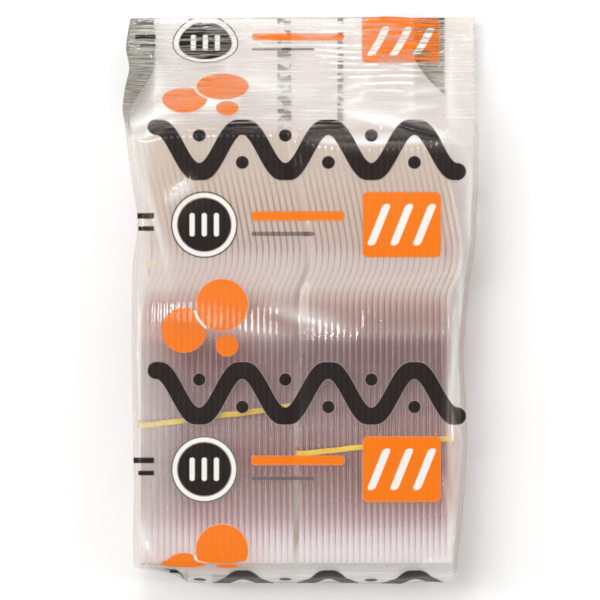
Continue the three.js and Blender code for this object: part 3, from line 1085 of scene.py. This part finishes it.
def wave(u, v, length, swing, thickness):
    """Distance outside a running wave."""
    turn = 2 * math.pi / length
    line = (u * turn).maths("SINE", u * turn) * swing
    slant = ((u * turn).maths("COSINE", u * turn) * (swing * turn)) ** 2 + 1
    return abs(v - line) / slant.root() - thickness / 2


def inked(distance):
    """1 inside a shape and 0 outside it, with a soft edge."""
    return distance.step(edge_blur, -edge_blur)


# %% The inks
def wave_shapes(across, row):
    """Distance outside the wave with its round ends, and outside the dots on both its sides."""
    band = wave(across, row, wave_length, wave_swing, wave_thickness).most(abs(across) - wave_half)
    ends = [disc(across, row, (end * wave_half, -end * wave_swing), wave_thickness / 2) for end in (-1, 1)]
    dot_at = across.maths("WRAP", across, wave_length / 2, 0.0) - wave_length / 4
    dots = (dot_at ** 2 + (abs(row) - dot_height) ** 2).root() - dot_radius
    side = across.maths("SINE", across * (2 * math.pi / wave_length)) * row
    return nearest(band, *ends), dots.most(side).most(abs(across) - (wave_half - wave_length / 4))


def orange_shapes(u, row):
    """Distance outside the tile and the bar, and outside the discs."""
    return (nearest(panel(u, row, **tile), panel(u, row, **long_bar)),
            nearest(*[disc(u, row, at, radius) for at, radius in discs]))


def print_masks(u, v):
    """Dark, orange, grey and white ink over the flat film, and a painted orange light beside the orange ink.
    """
    row = v.maths("WRAP", v - wave_row, repeat / 2, -repeat / 2)
    badge = nearest(disc(u, row, badge_at, badge_radius), ring(u, row, badge_at, *badge_outline))
    ticks = nearest(panel(u, row, **long_tick), panel(u, row, **short_tick))
    dark = inked(nearest(*wave_shapes(u - wave_middle, row), badge, ticks))
    plates, round_shapes = orange_shapes(u, row)
    orange = inked(nearest(plates, round_shapes))
    grey = inked(panel(u, row, **short_bar))
    leaning = u - tile_at[0] - (row - tile_at[1]) * tile_lean
    marks = nearest(ring(u, row, badge_at, *badge_ring), bars(leaning, row, tile_at[1], **tile_bars),
                    bars(u - badge_at[0], row, badge_at[1], **badge_bars))
    gap = ring(u, row, discs[1][0], *disc_rim)
    white = inked(marks).most(inked(gap) * inked(round_shapes))
    plates_above, _ = orange_shapes(u, row - repeat)
    _, discs_below = orange_shapes(u, row + repeat)
    # painted light: the film near the orange ink takes a pinkish tint, as if lit by light from the ink
    painted_orange_light = nearest(plates, round_shapes, plates_above, discs_below).step(orange_light_reach, 0)
    return dark, orange, grey, white, painted_orange_light


def rear_marks(u, v):
    """Broken dark bars in two columns, which show through the neck from the back of the bag."""
    bar = v.maths("WRAP", v, rear_mark_step, 0.0) - rear_mark_step / 2
    return inked(nearest(panel(u, bar, **rear_mark_wide), panel(u, bar, **rear_mark_narrow)))


# %% [markdown]
# The film is clear polypropylene: hardly any colour, a faint haze, and a hard shine. Where it clings to the
# heads and necks, a veil painted in the stack's light and shade, mauve below the necks, pale over them and
# tan over the heads, blurs the ridges under it. Where it lies double, in the gussets of the neck, it turns
# grey. The inks are nearly opaque. Fine pale lines across the neck, a painted highlight of its wrinkles,
# thin the ink and whiten the film, and the big creases carry a painted white highlight. A white haze paints
# light over the shade of the seam, the heads, the necks, the left side and the folded end, and the slack
# film has a faint painted glow.

# %% Finish of the film
painted_film_glow = 0.16
film_haze = 0.06
crinkled_haze = 0.06
standoff_and_light_haze = 0.2
crease_highlight_haze = 0.75
veil_haze = 0.3
loose_haze = 0.14
sheen_line_haze = 0.35
back_print = 0.5
ink_cover = 0.995
orange_cover = 0.93
grey_cover = 0.7
strip_cover = 0.75
rear_mark_cover = 0.85
orange_light_share = 0.45


def finish_film():
    g = start_material(clear_film)
    flat_place = g.kept("film_flat")
    u, v, side = flat_place.parts()
    front = side.step(0.4, 0.6)
    back = side.step(-0.4, -0.9)
    dark, orange, grey, white, painted_orange_light = print_masks(u, v)

    highlights_and_slack = g.kept("film_wear")
    crease_highlight, standoff_and_painted_light, loose = highlights_and_slack.parts()

    neck = loose * v.step(0, 10)
    lines = g.node("Mapping", None, {"Vector": flat_place, "Scale": (0.035, 0.9, 1.0)})
    wrinkle_bump_and_sheen = g.grain(lines, 1.0, 2.0, 0.7)
    crinkle = g.grain(flat_place, 0.22, 2.0)
    crushed = g.grain(lines, 1.7, 3.0, 0.75)
    # painted highlight: pale lines across the neck and along the creases thin the ink and let the film show
    ink_between_highlights = (1 - neck * wrinkle_bump_and_sheen.step(0.5, 0.55) * 0.92) * (1 - crease_highlight * 0.8)
    printed = front + back * back_print
    marks = rear_marks(u, v) * back * neck * crinkle.step(0.37, 0.5)
    ink = dark.most(orange).most(white).most(grey * grey_cover) * ink_between_highlights * printed

    left_strip = u.step(-57.5, -59)
    right_strip = u.step(44, 46.5) * u.step(58.5, 57)
    folded = (1 - front - back).clamped() * neck * left_strip.most(right_strip)
    over_strip = front * neck * left_strip.most(right_strip)
    # painted light and shade: the veil repeats the stack's colours along the fork, mauve below the necks,
    # pale over them, tan over the heads
    veil = g.kept("film_veil", output=2)
    veil_colour = g.node("ValToRGB", {"stops": [
        (0.05, linear(178, 138, 126)),
        (0.3, linear(186, 150, 138)),
        (0.42, linear(240, 224, 216)),
        (0.62, linear(240, 224, 216)),
        (0.78, linear(222, 196, 178)),
        (1.0, linear(222, 198, 180)),
    ]}, {0: (v + 20) / 60})
    # painted light, and film standing off the forks at the margins: white haze over the seam, heads, necks,
    # left side and end
    haze = film_haze + crinkle * crinkled_haze + standoff_and_painted_light * standoff_and_light_haze
    # painted highlight: white haze along the creases here, and in the pale lines across the neck below
    haze = haze + crease_highlight * crease_highlight_haze + veil * veil_haze
    haze = haze + loose * (1 - over_strip) * (loose_haze + wrinkle_bump_and_sheen.step(0.5, 0.72) * sheen_line_haze)

    # painted light: pinkish tint on the film beside the orange ink
    pale = blend(painted_orange_light * front * (1 - neck) * orange_light_share, rgb(255, 252, 248), rgb(236, 150, 110))
    pale = blend(veil * (1 - crease_highlight.step(0.1, 0.4)) * 0.85, pale, veil_colour)
    strip = blend(crushed.step(0.44, 0.56), rgb(186, 186, 172), rgb(58, 54, 46))
    colour = blend(folded, pale, strip)
    colour = blend(marks, colour, rgb(44, 36, 32))
    colour = blend(grey * printed, colour, rgb(112, 96, 96))
    colour = blend(orange * printed, colour, rgb(255, 126, 0))
    colour = blend(dark * printed, colour, rgb(22, 10, 6))
    colour = blend(white * printed, colour, rgb(250, 247, 240))

    small = g.grain(flat_place, 0.5, 1.0)
    bump = g.node("Bump", None, {"Height": small + wrinkle_bump_and_sheen * neck, "Strength": 0.35, "Distance": 0.0004})
    surface = g.node("BsdfPrincipled", None, {
        "Base Color": colour,
        "Roughness": 0.16 + ink * 0.25 + crinkle * 0.08,
        "IOR": 1.5,
        "Specular IOR Level": 0.15,
        "Coat Weight": 1 - ink * 0.95,
        "Coat Roughness": 0.05,
        "Coat IOR": 1.5,
        # painted glow: the slack film of the neck and folded end emits its own colour, though it is no lamp
        "Emission Color": blend(loose * (1 - ink), opaque((0, 0, 0)), colour),
        "Emission Strength": painted_film_glow,
        "Normal": bump,
    })
    cover = (dark.most(white) * ink_cover).most(orange * (orange_cover + crinkle * 0.06))
    cover = (cover.most(grey * grey_cover) * ink_between_highlights * printed).least(ink_cover)
    factor = (haze + folded * strip_cover + marks * rear_mark_cover).most(cover).clamped()
    see_through(g, linear(250, 248, 246), factor, surface)


finish_film()
print("materials:", ", ".join(m.name for m in (clear_plastic, yellow_rubber, clear_film)))

# %% [markdown]
# The pack lies on a white floor under soft light. The light is worked out first: sky, sun and lamps together
# give a flat surface facing up the level 1, so that colours render as written, and the floor is white by its
# own colour. The narrow lamps draw the bright lines along the forks and the folds.

# %% Floor
floor_half = 3.0
floor_level = 0.8
floor_seen = 1.12
floor = bpy.data.objects.new("floor", bpy.data.meshes.new("floor"))
corners = [(-floor_half, -floor_half, 0), (floor_half, -floor_half, 0), (floor_half, floor_half, 0),
           (-floor_half, floor_half, 0)]
floor.data.from_pydata(corners, [], [(0, 1, 2, 3)])
bpy.context.scene.collection.objects.link(floor)
floor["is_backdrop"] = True
floor_white = bpy.data.materials.new("white_floor")
floor.data.materials.append(floor_white)


def finish_floor():
    g = start_material(floor_white)
    colour = blend(seen(g), opaque([floor_level] * 3), opaque([floor_seen] * 3))
    end_graph(g, g.node("BsdfDiffuse", None, {"Color": colour}))


finish_floor()

# %% Sky, sun and lamps
sun_level = 0.2
sun_tilt = math.radians(22)
lamps = {  # place, watts, width and height
    "neck_strip": ((0.05, 0.75, 0.75), 1.5, 0.9, 0.02),
    "left_strip": ((-0.7, 0.05, 0.8), 1.5, 0.02, 0.9),
    "right_strip": ((0.75, -0.1, 0.7), 0.9, 0.02, 0.8),
    "window": ((-0.12, 0.28, 1.0), 1.3, 0.16, 0.08),
}


def level_from(location, energy):
    """How bright an area lamp of so many watts makes a white face that looks up."""
    distance = math.hypot(*location)
    return energy * (location[2] / distance) / (math.pi * distance) ** 2


lamp_level = sum(level_from(*lamp[:2]) for lamp in lamps.values())
sky_level = 1 - sun_level - lamp_level
print(f"light on a level face: sky {sky_level:.2f}, sun {sun_level}, lamps {lamp_level:.2f}")

# %% The sky
world = bpy.data.worlds.new("white_sky")
bpy.context.scene.world = world
world.use_nodes = True
world.node_tree.nodes.clear()
sky = Wire(world.node_tree)
strength = sky_level + seen(sky) * (1 - sky_level)
end_graph(sky, sky.node("Background", None, {"Color": (1, 1, 1, 1), "Strength": strength}), "World")


pack_middle = (0, 0, 0.02)


def aim(lamp, towards):
    """Turns a lamp so that it shines at a point."""
    direction = Vector(towards) - lamp.location
    lamp.rotation_euler = direction.to_track_quat("-Z", "Y").to_euler()


def add_lamp(name, kind, location, energy, **settings):
    data = bpy.data.lights.new(name, kind)
    data.energy = energy
    for key, value in settings.items():
        setattr(data, key, value)
    lamp = bpy.data.objects.new(name, data)
    bpy.context.scene.collection.objects.link(lamp)
    lamp.location = location
    aim(lamp, pack_middle)


sun_energy = math.pi * sun_level / math.cos(sun_tilt)
add_lamp("sun", "SUN", (-math.sin(sun_tilt), 0.5 * math.sin(sun_tilt), math.cos(sun_tilt)), sun_energy,
         angle=math.radians(24))
for name, (location, energy, width, height) in lamps.items():
    add_lamp(name, "AREA", location, energy, shape="RECTANGLE", size=width, size_y=height)

# %% [markdown]
# The camera looks straight down on the front of the pack, as the photograph does, from far enough away for
# the sides to stay out of sight. Its frame is as wide as the photograph's 600 pixels.

# %% Camera
camera_height = 2.6
picture_width = picture_pixels * pixel * mm
camera_data = bpy.data.cameras.new("camera")
camera_data.lens = camera_data.sensor_width * (camera_height - body_top * mm) / picture_width
camera = bpy.data.objects.new("camera", camera_data)
camera.location = ((picture_pixels / 2 - picture_middle[0]) * pixel * mm, 0, camera_height)
bpy.context.scene.collection.objects.link(camera)
bpy.context.scene.camera = camera
bpy.context.scene.view_settings.view_transform = "Standard"
bpy.context.scene.cycles.transparent_max_bounces = 16
bpy.context.scene.cycles.max_bounces = 6
bpy.context.scene.cycles.diffuse_bounces = 3
bpy.context.scene.cycles.glossy_bounces = 2
print(f"camera: {camera_data.lens:.0f} mm lens, {camera_height} m up")

visual_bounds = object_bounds()
grown = [(visual_bounds[1][k] - visual_bounds[0][k] - cad_bounds[1][k] + cad_bounds[0][k]) / mm
         for k in range(3)]
print("visual less CAD, mm:", ", ".join(f"{value:.2f}" for value in grown))
